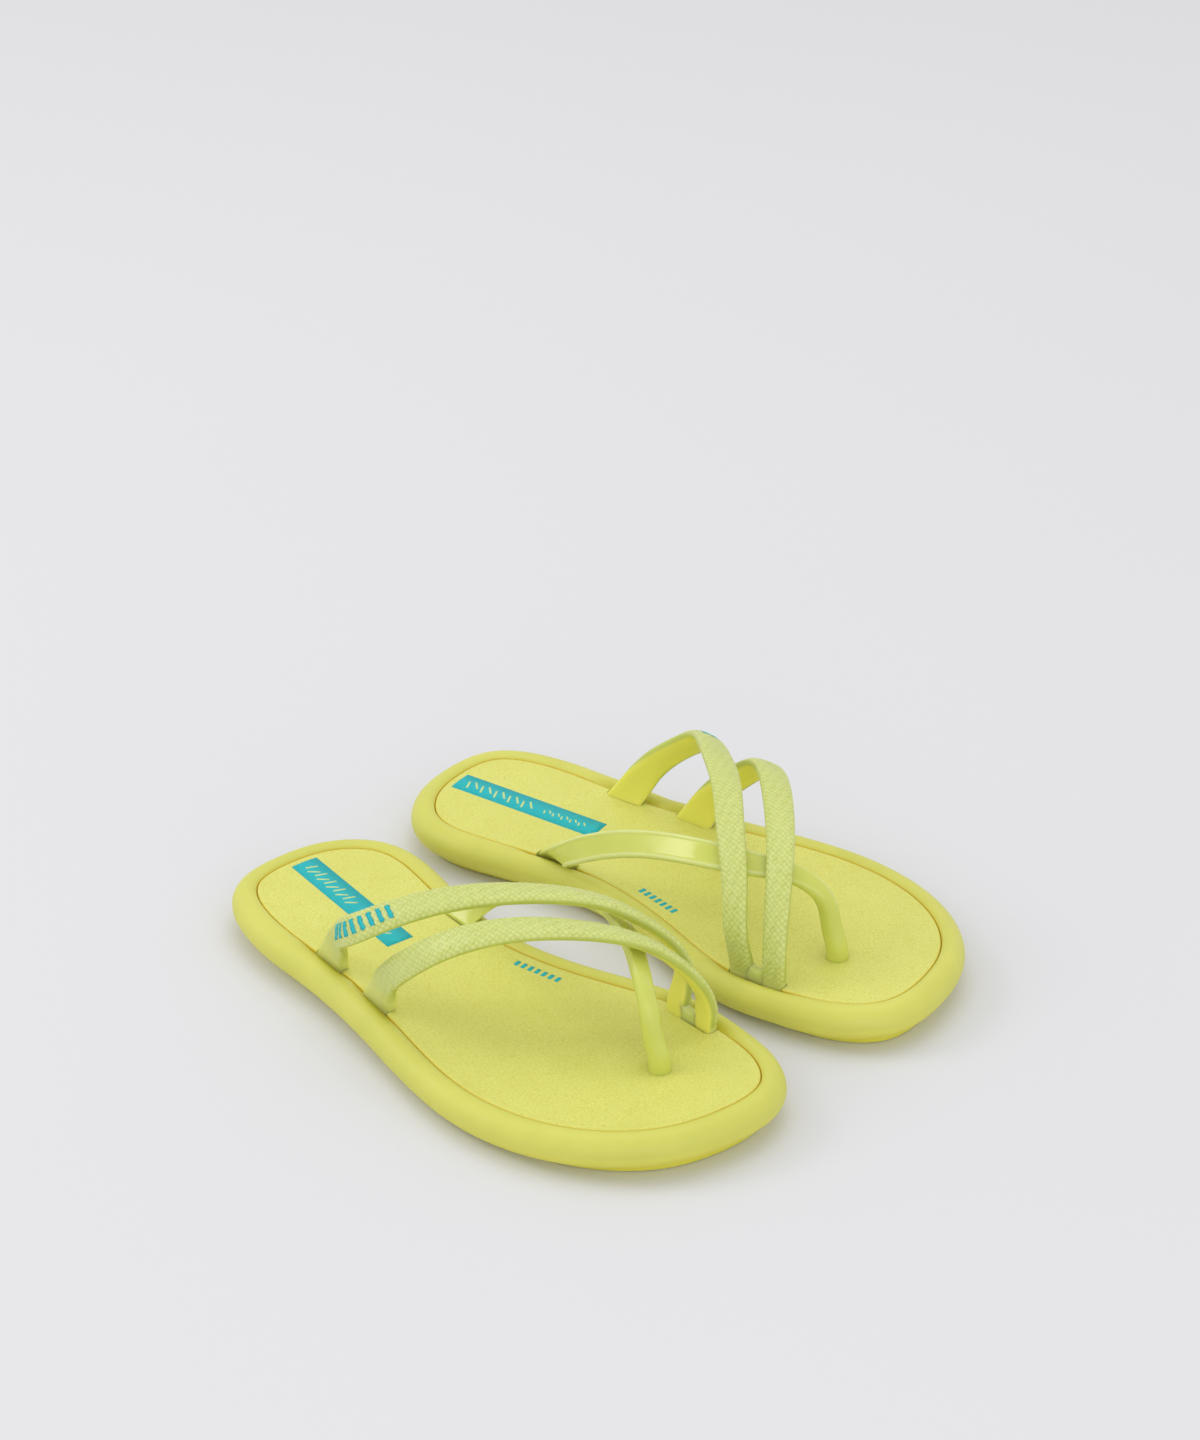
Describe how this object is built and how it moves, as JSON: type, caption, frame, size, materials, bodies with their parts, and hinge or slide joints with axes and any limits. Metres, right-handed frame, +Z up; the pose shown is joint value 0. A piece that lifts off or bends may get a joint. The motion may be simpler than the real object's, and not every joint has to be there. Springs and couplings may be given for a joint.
{
  "type": "thong sandals",
  "caption": "Pair of moulded thong sandals with a rounded cushion rim, inset footbed, two textured loops and a glossy toe strap that turns into the toe post.",
  "frame": {"origin": "on the floor at the centre of the pair's outline, midway between the two sandals", "axes": "+Z up, +X towards the toes, +Y from the right sandal to the left one"},
  "size_m": [0.2604, 0.2388, 0.0681],
  "materials": {
    "sole": "soft moulded PVC, satin",
    "footbed": "fine leather-like grain",
    "textured_strap": "moulded scale texture, satin",
    "glossy_strap": "smooth, slightly see-through",
    "print": "flat teal print"
  },
  "bodies": {
    "right_sandal": {"right_sole": "sole", "right_footbed": "footbed", "right_heel_label": "print", "right_footbed_mark": "print", "right_twin_strap": "textured_strap", "right_toe_strap": "glossy_strap"},
    "left_sandal": {"left_sole": "sole", "left_footbed": "footbed", "left_heel_label": "print", "left_footbed_mark": "print", "left_twin_strap": "textured_strap", "left_toe_strap": "glossy_strap"}
  },
  "joints": [
    {"name": "left_lift", "type": "slide", "parent": "right_sandal", "child": "left_sandal", "axis": [0, 0, 1], "range_m": [0, 0.15]}
  ]
}
